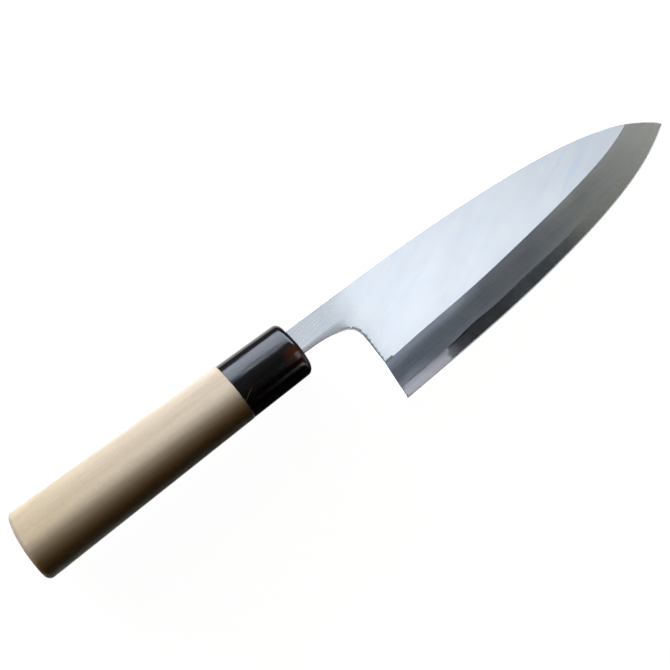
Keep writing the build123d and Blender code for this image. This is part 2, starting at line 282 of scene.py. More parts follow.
def blade_heights(p):
    """Front, weld and back heights at plan points (N, 2), with the readings that sort the faces."""
    u = p[:, 0]
    flat = flat_height(u)
    slope_face, k, width, slope = bevel_height(p)
    front = np.minimum(flat, np.where(u > 12.0, slope_face, flat))
    # fine bevel along the cutting edge
    d_edge, _ = nearest(p, edge_line, 2.0)
    join = slope_face + (MICRO_W - d_edge) * slope
    micro = W_BACK + EDGE_LAND + (join - W_BACK - EDGE_LAND) * d_edge / MICRO_W
    front = np.where((d_edge < MICRO_W) & (u > 20.0), np.minimum(front, micro), front)
    # rounded front edge of heel, choil and neck; broken edge of the spine
    d_low, s_low = nearest(p, lower_line, 2.5)
    r = corner_radius(s_low)
    front = front - np.where(d_low < r, r - np.sqrt(np.maximum(r ** 2 - (r - d_low) ** 2, 0)), 0.0)
    d_up, s_up = nearest(p, upper_line, 2.0)
    c = CHAMFER_FRONT * np.clip((1 - s_up) * 14.0, 0.12, 1.0)
    front = front - np.where(d_up < c, (c - d_up) * 0.75, 0.0)
    raw = hollow_raw(p)
    back = W_BACK + np.maximum(raw, 0.0)
    cb = CHAMFER_BACK * np.clip((1 - s_up) * 14.0, 0.12, 1.0)
    back = back + np.where(d_up < cb, (cb - d_up) * 0.9, 0.0)
    rb = np.minimum(r * 0.4, 0.5)
    back = back + np.where(d_low < rb, rb - np.sqrt(np.maximum(rb ** 2 - (rb - d_low) ** 2, 0)), 0.0)
    # tang
    t = np.clip((NECK_U - u) / (NECK_U - TANG_END), 0, 1)
    thin = TANG_ROOT[2] + (TANG_TAIL[2] - TANG_ROOT[2]) * t
    share = np.clip((NECK_U - u) / 1.0, 0, 1)
    front = front * (1 - share) + thin * share
    back = back * (1 - share) - thin * share
    front = np.maximum(front, back + 0.02)
    weld = weld_height(u)
    return front, weld, back, dict(k=k, width=width, d_edge=d_edge, raw=raw, d_low=d_low, d_up=d_up,
                                   flat_gap=flat - slope_face)


# ---------------------------------------------------------------------------
# one plan mesh for iron and steel
# ---------------------------------------------------------------------------
def plan_mesh():
    tang_top = [(-5.0, 5.87), (-53.0, 4.5), (TANG_END, TANG_TAIL[0])]
    tang_low = [(TANG_END, TANG_TAIL[1]), (-53.0, -2.9), (-5.0, -3.29)]
    outline = np.vstack([
        respace([(NECK_U, NECK_TOP), (42.0, 7.6)], 1.0)[:-1],
        respace(spine_line, 0.9)[:-1],
        np.array(TIP)[:-1],
        respace(edge_line, 0.8)[:-1],
        respace(heel_line, 0.8)[:-1],
        respace(choil_line, 0.5)[:-1],
        respace([CHOIL[-1], (NECK_U, NECK_BOTTOM)], 1.0)[:-1],
        [(NECK_U, NECK_BOTTOM)],
        respace(tang_low[::-1], 4.0)[:-1],
        [tang_low[0]],
        respace(tang_top[::-1], 4.0),
    ])
    lines = []

    def inner(line, distance):
        """Line moved to its left by a distance (number or array)."""
        t = np.gradient(line, axis=0)
        t /= np.hypot(t[:, 0], t[:, 1])[:, None]
        n = np.stack([-t[:, 1], t[:, 0]], 1)
        return line + n * np.reshape(distance, (-1, 1))

    # broken edges along the spine
    up = respace(upper_line, 0.9)
    s_up = np.linspace(0, 1, len(up))
    for c in (CHAMFER_FRONT, CHAMFER_BACK):
        keep = s_up < 0.985
        lines.append(inner(up, -c * np.clip((1 - s_up) * 14.0, 0.12, 1.0))[keep])
    # ridge, weld line and fine bevel
    lines.append(respace(ridge, 0.8))
    top = W_BACK + 6.6 - (ridge[:, 0] - 25.0) * 4.2 / 165.0
    k = np.full(len(station), 0.12)
    for _ in range(12):
        p = foot + (ridge - foot) * k[:, None]
        k = (weld_height(p[:, 0]) - W_BACK - BEVEL_FOOT) / (top - W_BACK - BEVEL_FOOT)
    ok = ridge[:, 0] > 20.0
    lines.append(respace((foot + (ridge - foot) * k[:, None])[ok], 0.8))
    ed = respace(edge_line, 0.8)
    lines.append(inner(ed, -MICRO_W)[1:-1])
    # rounded heel, choil and neck
    low = respace(lower_line, 0.55)
    d, s_low = nearest(low, lower_line)
    r = corner_radius(s_low)
    for phi in (22.5, 45.0, 67.5, 90.0):
        off = inner(low, -r * (1 - math.cos(math.radians(phi))))
        keep = (r > 0.36) | (phi > 30.0)
        keep[:2] = keep[-1:] = False
        lines.append(off[keep])
    # where the steel begins on the back
    lines.append(respace([(7.17, -6.0), (7.17, 9.0)], 0.9))
    # rim of the hollow
    a, b = HOLLOW_U
    th = np.linspace(0, 2 * math.pi, 720)
    x = np.sign(np.cos(th)) * np.abs(np.cos(th)) ** (2 / 4.0)
    y = np.sign(np.sin(th)) * np.abs(np.sin(th)) ** (2 / 2.6)
    uu = (a + b) / 2 + x * (b - a) / 2
    low_v = np.interp(uu, edge_line[::-1, 0], edge_line[::-1, 1]) + RIM_EDGE
    high_v = np.where(uu < 42.0, NECK_TOP, np.interp(uu, spine_line[:, 0], spine_line[:, 1])) - RIM_SPINE
    rim = np.stack([uu, (low_v + high_v) / 2 + y * np.maximum((high_v - low_v) / 2, 2.0)], 1)
    lines.append(respace(rim, 1.0)[:-1])
    # shoulder of the tang
    lines.append(respace([(NECK_U, NECK_BOTTOM + 0.6), (NECK_U, NECK_TOP - 0.6)], 1.0))
    lines.append(respace([(-5.0, -2.9), (-5.0, 5.4)], 1.0))

    # even fill
    step = 1.25
    rows = []
    for j, v in enumerate(np.arange(-46.0, 9.0, step * 0.866)):
        us = np.arange(-3.4 + (0.5 * step if j % 2 else 0.0), 196.0, step)
        rows.append(np.stack([us, np.full(len(us), v)], 1))
    fill = np.vstack(rows)
    features = [outline] + lines
    for line in features:
        span = line if line is not outline else np.vstack([outline, outline[:1]])
        dist, _ = nearest(fill, span, 0.6)
        fill = fill[dist > 0.45]

    verts = [tuple(q) for q in outline]
    edges = []
    for line in lines:
        first = len(verts)
        verts += [tuple(q) for q in line]
        edges += [(first + i, first + i + 1) for i in range(len(line) - 1)]
    verts += [tuple(q) for q in fill]
    got = delaunay_2d_cdt([Vector(q) for q in verts], edges, [list(range(len(outline)))], 1, 1e-4)
    pts = np.array([tuple(q) for q in got[0]], float)
    tris = [tuple(f) for f in got[2] if len(f) == 3]
    return pts, np.array(tris, int)


def add_mesh(name, verts, faces, mats, mat_index, kn, extra, sharp, smooth_faces=True):
    """Object from knife-frame vertices, with the knife coordinates kept for the materials."""
    mesh = bpy.data.meshes.new(name)
    mesh.from_pydata([tuple(q) for q in world(verts)], [], [tuple(int(i) for i in f) for f in faces])
    for m in mats:
        mesh.materials.append(m)
    mesh.polygons.foreach_set("material_index", np.array(mat_index, np.int32))
    mesh.polygons.foreach_set("use_smooth", np.full(len(mesh.polygons), smooth_faces))
    layer = mesh.attributes.new("kn", "FLOAT_VECTOR", "POINT")
    layer.data.foreach_set("vector", np.asarray(kn, np.float32).ravel())
    if extra is not None:
        layer = mesh.attributes.new("bv", "FLOAT_VECTOR", "POINT")
        layer.data.foreach_set("vector", np.asarray(extra, np.float32).ravel())
    if sharp is not None:
        flags = np.array([tuple(sorted(e.vertices)) in sharp for e in mesh.edges], bool)
        layer = mesh.attributes.new("sharp_edge", "BOOLEAN", "EDGE")
        layer.data.foreach_set("value", flags)
    mesh.validate()
    mesh.update()
    obj = bpy.data.objects.new(name, mesh)
    bpy.context.scene.collection.objects.link(obj)
    return obj


def sharp_pairs(verts, faces, angle):
    """Edges where the faces turn by more than the angle."""
    ring = np.array([list(f) + [f[0]] * (4 - len(f)) for f in faces], int)
    q = verts[ring]
    normal = sum(np.cross(q[:, i], q[:, (i + 1) % 4]) for i in range(4))
    normal /= np.sqrt((normal ** 2).sum(1))[:, None] + 1e-12
    pair = np.sort(np.stack([ring, np.roll(ring, -1, axis=1)], 2), axis=2).reshape(-1, 2)
    owner = np.repeat(np.arange(len(ring)), 4)
    real = pair[:, 0] != pair[:, 1]
    pair, owner = pair[real], owner[real]
    order = np.lexsort((pair[:, 1], pair[:, 0]))
    pair, owner = pair[order], owner[order]
    same = (pair[1:] == pair[:-1]).all(1)
    turn_ = (normal[owner[1:]] * normal[owner[:-1]]).sum(1) < math.cos(math.radians(angle))
    return {(int(a), int(b)) for a, b in pair[1:][same & turn_]}


# ---------------------------------------------------------------------------
# shader building
# ---------------------------------------------------------------------------
class Tree:
    def __init__(self, owner):
        owner.use_nodes = True
        self.nt = owner.node_tree
        self.nt.nodes.clear()

    def node(self, kind, inputs=None, **props):
        n = self.nt.nodes.new(kind)
        for k, v in props.items():
            setattr(n, k, v)
        for k, v in (inputs or {}).items():
            self.put(n.inputs[k], v)
        return n

    def put(self, socket, value):
        if isinstance(value, bpy.types.NodeSocket):
            self.nt.links.new(value, socket)
        elif isinstance(value, (tuple, list)) and len(value) == 3 and socket.type == "RGBA":
            socket.default_value = (*value, 1.0)
        else:
            socket.default_value = value

    def math(self, op, a, b=None, c=None, clamp=False):
        n = self.nt.nodes.new("ShaderNodeMath")
        n.operation, n.use_clamp = op, clamp
        for i, x in enumerate((a, b, c)):
            if x is not None:
                self.put(n.inputs[i], x)
        return n.outputs[0]

    def add(self, a, b):
        return self.math("ADD", a, b)

    def sub(self, a, b):
        return self.math("SUBTRACT", a, b)

    def mul(self, a, b):
        return self.math("MULTIPLY", a, b)

    def vec(self, op, a, b=None):
        n = self.nt.nodes.new("ShaderNodeVectorMath")
        n.operation = op
        self.put(n.inputs[0], a)
        if b is not None:
            self.put(n.inputs[1], b)
        return n.outputs["Value"] if op in ("DOT_PRODUCT", "LENGTH") else n.outputs[0]

    def attribute(self, name):
        return self.node("ShaderNodeAttribute", attribute_name=name).outputs["Vector"]

    def split(self, v):
        n = self.nt.nodes.new("ShaderNodeSeparateXYZ")
        self.put(n.inputs[0], v)
        return n.outputs[0], n.outputs[1], n.outputs[2]

    def join(self, x, y, z):
        n = self.nt.nodes.new("ShaderNodeCombineXYZ")
        for i, q in enumerate((x, y, z)):
            self.put(n.inputs[i], q)
        return n.outputs[0]

    def step(self, x, a, b, lo_=0.0, hi_=1.0, kind="SMOOTHSTEP"):
        n = self.nt.nodes.new("ShaderNodeMapRange")
        n.interpolation_type = kind
        for k, q in zip((0, 1, 2, 3, 4), (x, a, b, lo_, hi_)):
            self.put(n.inputs[k], q)
        return n.outputs[0]

    def noise(self, v, scale=1.0, detail=3.0, rough=0.5, distort=0.0, color=False):
        n = self.nt.nodes.new("ShaderNodeTexNoise")
        n.noise_dimensions = "3D"
        self.put(n.inputs["Vector"], v)
        n.inputs["Scale"].default_value = scale
        n.inputs["Detail"].default_value = detail
        n.inputs["Roughness"].default_value = rough
        n.inputs["Distortion"].default_value = distort
        return n.outputs["Color"] if color else n.outputs[0]

    def ramp(self, x, stops, kind="LINEAR"):
        n = self.nt.nodes.new("ShaderNodeValToRGB")
        n.color_ramp.interpolation = kind
        els = n.color_ramp.elements
        while len(els) < len(stops):
            els.new(0.5)
        for el, (pos, col) in zip(els, stops):
            el.position = pos
            col = (col, col, col) if isinstance(col, (int, float)) else col
            el.color = (*col, 1.0)
        self.put(n.inputs[0], x)
        return n.outputs[0]

    def mix(self, fac, a, b, kind="MIX"):
        n = self.nt.nodes.new("ShaderNodeMix")
        n.data_type, n.blend_type = "RGBA", kind
        self.put(n.inputs[0], fac)
        self.put(n.inputs[6], a)
        self.put(n.inputs[7], b)
        return n.outputs[2]

    def shade(self, color, factor):
        """Colour times a grey factor."""
        n = self.nt.nodes.new("ShaderNodeVectorMath")
        n.operation = "SCALE"
        self.put(n.inputs[0], color)
        self.put(n.inputs["Scale"], factor)
        return n.outputs[0]

    def bump(self, height, distance, strength=1.0, normal=None):
        n = self.nt.nodes.new("ShaderNodeBump")
        n.inputs["Strength"].default_value = strength
        n.inputs["Distance"].default_value = distance
        self.put(n.inputs["Height"], height)
        if normal is not None:
            self.put(n.inputs["Normal"], normal)
        return n.outputs[0]

    def surface(self, color, rough, normal=None, metallic=0.0, **fixed):
        n = self.nt.nodes.new("ShaderNodeBsdfPrincipled")
        self.put(n.inputs["Base Color"], color)
        self.put(n.inputs["Roughness"], rough)
        self.put(n.inputs["Metallic"], metallic)
        if normal is not None:
            self.put(n.inputs["Normal"], normal)
        for k, q in fixed.items():
            n.inputs[k.replace("_", " ")].default_value = q
        out = self.nt.nodes.new("ShaderNodeOutputMaterial")
        self.nt.links.new(n.outputs[0], out.inputs[0])
        return n


def stretched(t, kn, su, sv, sw, turn=0.0):
    """Knife coordinates scaled per axis; turn rotates about w first, in degrees."""
    if turn:
        n = t.node("ShaderNodeVectorRotate", rotation_type="Z_AXIS")
        t.put(n.inputs["Vector"], kn)
        n.inputs["Angle"].default_value = math.radians(turn)
        kn = n.outputs[0]
    return t.vec("MULTIPLY", kn, (su, sv, sw))


def window(t, x, a0, a1, b1, b0):
    """Soft-edged interval."""
    return t.mul(t.step(x, a0, a1), t.step(x, b0, b1))


def wood_material():
    m = bpy.data.materials.new("ho_wood")
    t = Tree(m)
    kn = t.attribute("kn")
    u, v, w = t.split(kn)
    # slow bending of the grain, then growth layers seen as long faint bands
    drift = t.noise(stretched(t, kn, 0.012, 0.05, 0.05), 1.0, 2.0, 0.5)
    across = t.add(t.mul(v, 0.82), t.mul(w, 0.35))
    layer = t.add(across, t.mul(drift, 9.0))
    bands = t.noise(t.join(t.mul(u, 0.004), t.mul(layer, 0.55), 0.0), 1.0, 3.0, 0.62)
    fibre = t.noise(stretched(t, kn, 0.10, 3.2, 3.2), 1.0, 4.0, 0.6, 0.15)
    streak = t.noise(stretched(t, kn, 0.035, 1.1, 1.1), 1.0, 3.0, 0.55)
    # pores: short dark dashes along the fibre
    pore_n = t.noise(stretched(t, kn, 0.55, 7.5, 7.5), 1.0, 1.0, 0.4)
    pores = t.step(pore_n, 0.70, 0.80)
    # fine ray flecks
    fleck_n = t.noise(stretched(t, kn, 0.9, 2.0, 9.0), 1.0, 2.0, 0.5)
    fleck = t.step(fleck_n, 0.62, 0.74)
    pale, mid, dark = (0.850, 0.745, 0.592), (0.800, 0.685, 0.527), (0.67, 0.54, 0.385)
    col = t.mix(t.step(bands, 0.30, 0.72), pale, mid)
    col = t.mix(t.mul(t.step(streak, 0.50, 0.80), 0.11), col, dark)
    col = t.shade(col, t.step(fibre, 0.25, 0.78, 1.035, 0.955, "LINEAR"))
    grit = t.noise(stretched(t, kn, 0.75, 2.1, 2.1), 1.0, 3.0, 0.7)
    col = t.shade(col, t.step(grit, 0.25, 0.75, 1.06, 0.935, "LINEAR"))
    col = t.mix(t.mul(pores, 0.22), col, (0.47, 0.36, 0.22))
    col = t.mix(t.mul(fleck, 0.06), col, (0.93, 0.86, 0.72))
    # a little yellower towards the butt, a little paler at the ferrule
    col = t.mix(t.step(u, -66.0, -122.0), col, (0.940, 0.925, 0.845), "MULTIPLY")
    col = t.mix(t.step(u, -74.0, -34.0), col, (1.04, 1.05, 1.07), "MULTIPLY")
    # soft beige mottling
    mott = t.noise(stretched(t, kn, 0.10, 0.42, 0.42), 1.0, 3.0, 0.55, 0.4)
    col = t.mix(t.step(mott, 0.42, 0.72, 0.0, 0.20), col, (0.70, 0.57, 0.42))
    # end grain on the butt
    end_read, rim_shade_read, _ = t.split(t.attribute("bv"))
    end = t.step(end_read, 0.3, 0.9)
    rings = t.noise(t.join(t.mul(u, 0.0), t.mul(layer, 1.3), t.mul(w, 0.05)), 1.0, 2.0, 0.5)
    dots = t.noise(stretched(t, kn, 0.0, 9.0, 9.0), 1.0, 2.0, 0.6)
    end_col = t.mix(t.step(rings, 0.4, 0.6), (0.70, 0.58, 0.40), (0.58, 0.46, 0.30))
    end_col = t.mix(t.mul(t.step(dots, 0.56, 0.70), 0.4), end_col, (0.36, 0.27, 0.17))
    col = t.mix(end, col, end_col)
    # painted shade on the rounded rim of the butt, broken up by noise; the glue line at the ferrule
    rim_shade_n = t.noise(stretched(t, kn, 0.3, 0.3, 0.3), 1.0, 3.0, 0.6)
    rim = t.mul(t.mul(rim_shade_read, t.sub(1.0, end)), t.step(rim_shade_n, 0.25, 0.60, 0.35, 1.0))
    # painted shade: the rounded rim of the butt turned dark purple-grey
    col = t.mix(t.mul(rim, 0.50), col, (0.34, 0.29, 0.30))
    line = t.step(u, -30.14, -30.01)
    col = t.mix(t.mul(line, 0.75), col, (0.46, 0.42, 0.37))
    # faint marks of use
    mark = t.noise(stretched(t, kn, 0.05, 0.12, 0.12), 1.0, 5.0, 0.65)
    col = t.mix(t.step(mark, 0.52, 0.78, 0.0, 0.16), col, (0.62, 0.52, 0.38))
    rough = t.add(0.50, t.mul(fibre, 0.14))
    rough = t.add(rough, t.mul(pores, 0.10))
    h = t.add(t.mul(fibre, 0.55), t.mul(streak, 0.25))
    h = t.sub(h, t.mul(pores, 0.9))
    n = t.bump(h, 0.00004, 0.55)
    t.surface(col, rough, n, 0.0, Specular_IOR_Level=0.10)
    return m


def horn_material():
    m = bpy.data.materials.new("buffalo_horn")
    t = Tree(m)
    kn = t.attribute("kn")
    u, v, w = t.split(kn)
    # horn is layered along its length, with brown seeping in at the front
    body = t.noise(stretched(t, kn, 0.05, 0.35, 0.35), 1.0, 3.0, 0.55, 0.3)
    fine = t.noise(stretched(t, kn, 0.25, 2.4, 2.4), 1.0, 3.0, 0.6)
    col = t.mix(t.step(body, 0.42, 0.75), (0.0135, 0.0135, 0.0160), (0.0230, 0.0190, 0.0180))
    col = t.mix(t.mul(t.step(fine, 0.60, 0.80), 0.35), col, (0.036, 0.027, 0.020))
    edge_n = t.noise(stretched(t, kn, 0.16, 0.30, 0.30), 1.0, 3.0, 0.6)
    front = t.step(t.add(u, t.mul(t.sub(edge_n, 0.5), 5.0)), -10.0, 0.5)
    high = window(t, v, -10.8, -7.0, -2.0, 3.5)
    brown = t.mul(t.mul(front, high), t.step(w, 2.0, 6.0))
    col = t.mix(t.mul(brown, 0.90), col, (0.190, 0.066, 0.018))
    low_brown = t.mul(t.step(t.add(u, t.mul(edge_n, 8.0)), -3.0, 3.5), t.step(w, 0.0, -5.0))
    col = t.mix(t.mul(low_brown, 0.5), col, (0.075, 0.030, 0.012))
    # a few short pale scratches near the wood
    n = t.node("ShaderNodeVectorRotate", rotation_type="Z_AXIS")
    t.put(n.inputs["Vector"], kn)
    n.inputs["Angle"].default_value = math.radians(-32.0)
    su, sv, sw = t.split(n.outputs[0])
    scr_n = t.noise(t.join(t.mul(su, 0.10), t.mul(sv, 2.1), 3.1), 1.0, 0.0, 0.4)
    scr = t.mul(t.mul(t.step(scr_n, 0.74, 0.79), window(t, v, -6.0, -4.5, 0.5, 2.0)),
                t.mul(t.step(u, -23.5, -26.0), t.step(w, 4.0, 8.0)))
    col = t.mix(t.mul(scr, 0.40), col, (0.24, 0.21, 0.17))
    swirl = t.noise(stretched(t, kn, 0.5, 0.9, 0.9), 1.0, 3.0, 0.6)
    rough = t.add(0.085, t.mul(swirl, 0.05))
    rough = t.add(rough, t.mul(scr, 0.2))
    h = t.add(t.mul(t.noise(stretched(t, kn, 0.07, 0.30, 0.30), 1.0, 2.0, 0.5), 1.0), t.mul(fine, 0.05))
    nrm = t.bump(h, 0.00012, 0.5)
    t.surface(col, rough, nrm, 0.0, IOR=1.56, Specular_IOR_Level=0.5)
    return m


def iron_flat_material():
    m = bpy.data.materials.new("iron_flat")
    t = Tree(m)
    kn = t.attribute("kn")
    u, v, w = t.split(kn)
    cloud = t.noise(stretched(t, kn, 0.035, 0.075, 0.05, -28.0), 1.0, 3.0, 0.55)
    band = t.noise(stretched(t, kn, 0.016, 0.22, 0.05, -24.0), 1.0, 3.0, 0.6)
    brush = t.noise(stretched(t, kn, 0.06, 2.6, 0.3, -6.0), 1.0, 4.0, 0.65)
    fine = t.noise(stretched(t, kn, 0.30, 11.0, 0.5, -4.0), 1.0, 2.0, 0.6)
    hue = t.noise(stretched(t, kn, 0.05, 0.09, 0.05, 12.0), 1.0, 2.0, 0.5)
    col = t.mix(t.step(hue, 0.30, 0.70), (0.800, 0.825, 0.855), (0.832, 0.836, 0.850))
    col = t.shade(col, t.step(cloud, 0.25, 0.75, 0.975, 1.02))
    col = t.shade(col, t.step(band, 0.30, 0.72, 0.985, 1.012))
    col = t.shade(col, t.step(brush, 0.2, 0.8, 0.985, 1.015))
    # painted shade: the flat darker towards the tip
    col = t.shade(col, t.step(u, 104.0, 160.0, 1.0, 0.92))
    # bluer patch with streaks before the tip
    tip_n = t.noise(stretched(t, kn, 0.05, 0.50, 0.1, -26.0), 1.0, 3.0, 0.6)
    zone = t.mul(t.step(u, 118.0, 140.0), t.sub(1.0, t.step(u, 168.0, 178.0)))
    col = t.mix(t.mul(zone, t.step(tip_n, 0.42, 0.70, 0.0, 0.50)), col, (0.64, 0.71, 0.84))
    # light stain on the neck by the ferrule
    stain = t.noise(stretched(t, kn, 0.18, 0.30, 0.3), 1.0, 4.0, 0.6)
    col = t.mix(t.mul(t.step(u, 9.0, -1.0), t.step(stain, 0.40, 0.70, 0.06, 0.30)), col, (0.50, 0.53, 0.60))
    rough = t.add(t.step(u, 30.0, 12.0, 0.20, 0.235), t.mul(brush, 0.08))
    rough = t.add(rough, t.mul(t.mul(t.step(v, -1.5, -3.8), t.step(u, 24.0, 14.0)), 0.20))
    # the forged neck falls away slightly from the ferrule
    ease = t.step(u, 28.0, 12.0, 0.0, 1.0, "LINEAR")
    sweep = t.add(t.mul(t.mul(ease, ease), 8.0), t.math("MAXIMUM", t.sub(12.0, u), 0.0))
    fall = t.bump(t.mul(sweep, 0.052), 0.001, 1.0)
    h = t.add(t.mul(brush, 0.4), t.mul(fine, 0.25))
    nrm = t.bump(h, 0.000005, 0.3, fall)
    t.surface(col, rough, nrm, 1.0)
    return m


def iron_bevel_material():
    m = bpy.data.materials.new("iron_bevel")
    t = Tree(m)
    kn = t.attribute("kn")
    u, v, w = t.split(kn)
    below, above, weld = t.split(t.attribute("bv"))
    lines = t.noise(stretched(t, kn, 0.035, 1.5, 0.2, -3.0), 1.0, 4.0, 0.62)
    fine = t.noise(stretched(t, kn, 0.16, 8.0, 0.5, -3.0), 1.0, 3.0, 0.62)
    cross = t.noise(stretched(t, kn, 0.55, 0.09, 0.2, -30.0), 1.0, 3.0, 0.6)
    cloud = t.noise(stretched(t, kn, 0.06, 0.14, 0.1), 1.0, 3.0, 0.55)
    col = t.mix(t.step(cloud, 0.3, 0.7), (0.415, 0.435, 0.475), (0.475, 0.49, 0.515))
    col = t.shade(col, t.step(lines, 0.22, 0.78, 0.86, 1.13, "LINEAR"))
    col = t.shade(col, t.step(fine, 0.2, 0.8, 0.95, 1.05, "LINEAR"))
    col = t.shade(col, t.step(cross, 0.25, 0.75, 0.95, 1.05, "LINEAR"))
    # painted highlight: lighter under the ridge, most of all towards the heel
    soft_n = t.noise(stretched(t, kn, 0.12, 0.5, 0.2, -20.0), 1.0, 3.0, 0.6)
    reach = t.add(below, t.mul(t.sub(soft_n, 0.5), 1.2))
    near = t.mul(t.step(reach, 5.2, 0.2), t.step(u, 88.0, 58.0, 0.22, 1.24))
    col = t.shade(col, t.add(1.0, near))
    # haze just over the weld
    haze_n = t.noise(stretched(t, kn, 0.10, 0.6, 0.2), 1.0, 3.0, 0.6)
    haze = t.mul(t.step(t.sub(weld, t.mul(haze_n, 1.1)), 1.7, -0.1), t.step(u, 150.0, 120.0))
    col = t.mix(t.mul(haze, 0.20), col, (0.80, 0.83, 0.81))
    col = t.shade(col, t.step(u, 62.0, 44.0, 1.0, 0.88))
    # painted highlight: the heel's bright patch reaching up over the weld
    soft = t.mul(t.step(t.sub(weld, t.mul(haze_n, 4.0)), 2.2, -1.2), t.step(u, 47.0, 30.0))
    col = t.mix(t.mul(soft, 0.55), col, (0.80, 0.81, 0.85))
    # darker and bluer at the heel, warmer towards the tip
    col = t.shade(col, t.step(u, 98.0, 140.0, 0.71, 1.0))
    col = t.mix(t.step(u, 35.0, 95.0), t.mix(1.0, col, (0.99, 1.08, 1.165), "MULTIPLY"),
                t.mix(1.0, col, (1.0, 1.04, 1.06), "MULTIPLY"))
    col = t.mix(t.step(u, 98.0, 138.0), col, (1.01, 0.96, 0.84), "MULTIPLY")
    col = t.mix(t.step(u, 140.0, 190.0, 0.0, 0.70), col, (0.76, 0.755, 0.675))
    rough = t.add(0.34, t.mul(fine, 0.12))
    h = t.add(t.mul(lines, 0.4), t.mul(fine, 0.4))
    nrm = t.bump(h, 0.000010, 0.5)
    t.surface(col, rough, nrm, 0.86)
    return m


def steel_bevel_material():
    m = bpy.data.materials.new("steel_bevel")
    t = Tree(m)
    kn = t.attribute("kn")
    u, v, w = t.split(kn)
    below, above, weld = t.split(t.attribute("bv"))
    cloud = t.noise(stretched(t, kn, 0.20, 0.12, 0.1, -20.0), 1.0, 4.0, 0.6)
    fine = t.noise(stretched(t, kn, 0.12, 7.0, 0.5, -2.0), 1.0, 3.0, 0.6)
    col = t.mix(t.step(cloud, 0.25, 0.75), (0.275, 0.30, 0.325), (0.365, 0.39, 0.405))
    col = t.shade(col, t.step(fine, 0.2, 0.8, 0.88, 1.12, "LINEAR"))
    col = t.shade(col, t.sub(1.0, t.mul(window(t, u, 50.0, 58.0, 66.0, 98.0), 0.58)))
    # rougher, freshly stoned patch at the heel with its soft upper limit; its brightness is a painted highlight
    lim = t.noise(stretched(t, kn, 0.30, 0.30, 0.2, -35.0), 1.0, 3.0, 0.6)
    stoned_highlight_patch = t.sub(1.0, t.step(t.add(u, t.mul(t.sub(lim, 0.5), 5.0)), 50.0, 52.0))
    rough = t.add(0.17, t.mul(cloud, 0.08))
    rough = t.add(rough, t.mul(stoned_highlight_patch, 0.12))
    stone_n = t.noise(stretched(t, kn, 0.10, 1.6, 0.3, -4.0), 1.0, 3.0, 0.6)
    # painted highlight: pale colour of the heel patch, a little darker towards the weld
    painted_highlight = t.shade((0.90, 0.905, 0.965), t.mul(t.step(weld, -0.2, -3.2, 0.84, 1.04),
                                                 t.step(stone_n, 0.25, 0.75, 0.93, 1.06)))
    col = t.mix(t.mul(stoned_highlight_patch, 0.88), col, painted_highlight)
    col = t.mix(t.step(u, 114.0, 140.0, 0.0, 0.95), col, (0.695, 0.698, 0.632))
    col = t.shade(col, t.step(u, 150.0, 190.0, 1.0, 1.02))
    h = t.mul(fine, 0.5)
    nrm = t.bump(h, 0.000006, 0.4)
    t.surface(col, rough, nrm, 0.95)
    return m


def edge_material():
    m = bpy.data.materials.new("steel_edge")
    t = Tree(m)
    kn = t.attribute("kn")
    fine = t.noise(stretched(t, kn, 0.25, 6.0, 6.0), 1.0, 3.0, 0.6)
    nick = t.noise(stretched(t, kn, 1.4, 1.4, 1.4), 1.0, 2.0, 0.5)
    col = t.mix(t.step(fine, 0.3, 0.7), (0.80, 0.81, 0.83), (0.95, 0.95, 0.955))
    rough = t.add(0.28, t.mul(nick, 0.14))
    nrm = t.bump(fine, 0.000006, 0.5)
    t.surface(col, rough, nrm, 0.80)
    return m


def steel_back_material():
    m = bpy.data.materials.new("steel_back")
    t = Tree(m)
    kn = t.attribute("kn")
    below, above, raw = t.split(t.attribute("bv"))
    ground = t.noise(stretched(t, kn, 0.05, 3.0, 0.3, 82.0), 1.0, 4.0, 0.62)
    stone = t.noise(stretched(t, kn, 0.08, 5.0, 0.3, -8.0), 1.0, 3.0, 0.6)
    cloud = t.noise(stretched(t, kn, 0.05, 0.08, 0.1), 1.0, 3.0, 0.55)
    rim = t.step(raw, 0.004, -0.004)
    col = t.mix(t.step(cloud, 0.3, 0.7), (0.62, 0.64, 0.665), (0.68, 0.69, 0.71))
    col = t.shade(col, t.step(ground, 0.2, 0.8, 0.95, 1.05, "LINEAR"))
    col = t.mix(t.mul(rim, 0.6), col, (0.76, 0.77, 0.79))
    rough = t.mix(rim, t.add(0.16, t.mul(ground, 0.10)), t.add(0.22, t.mul(stone, 0.12)))
    h = t.mix(rim, ground, stone)
    nrm = t.bump(h, 0.000008, 0.4)
    t.surface(col, rough, nrm, 1.0)
    return m


def iron_side_material():
    m = bpy.data.materials.new("iron_side")
    t = Tree(m)
    kn = t.attribute("kn")
    ground = t.noise(stretched(t, kn, 1.8, 1.8, 0.35), 1.0, 4.0, 0.62)
    cloud = t.noise(stretched(t, kn, 0.10, 0.2, 0.2), 1.0, 3.0, 0.6)
    u, v, w = t.split(kn)
    col = t.mix(t.step(cloud, 0.3, 0.7), (0.62, 0.635, 0.66), (0.72, 0.73, 0.75))
    col = t.shade(col, t.step(ground, 0.2, 0.8, 0.92, 1.06, "LINEAR"))
    # forge scale on the tang
    scale_n = t.noise(stretched(t, kn, 0.35, 0.5, 0.5), 1.0, 4.0, 0.6)
    hot = t.step(t.add(u, t.mul(scale_n, 2.0)), -3.0, -5.5)
    col = t.mix(hot, col, t.mix(t.step(scale_n, 0.35, 0.65), (0.045, 0.040, 0.040), (0.14, 0.075, 0.045)))
    rough = t.add(t.add(0.30, t.mul(ground, 0.14)), t.mul(hot, 0.3))
    nrm = t.bump(ground, 0.00001, 0.5)
    t.surface(col, rough, nrm, t.sub(1.0, t.mul(hot, 0.7)))
    return m


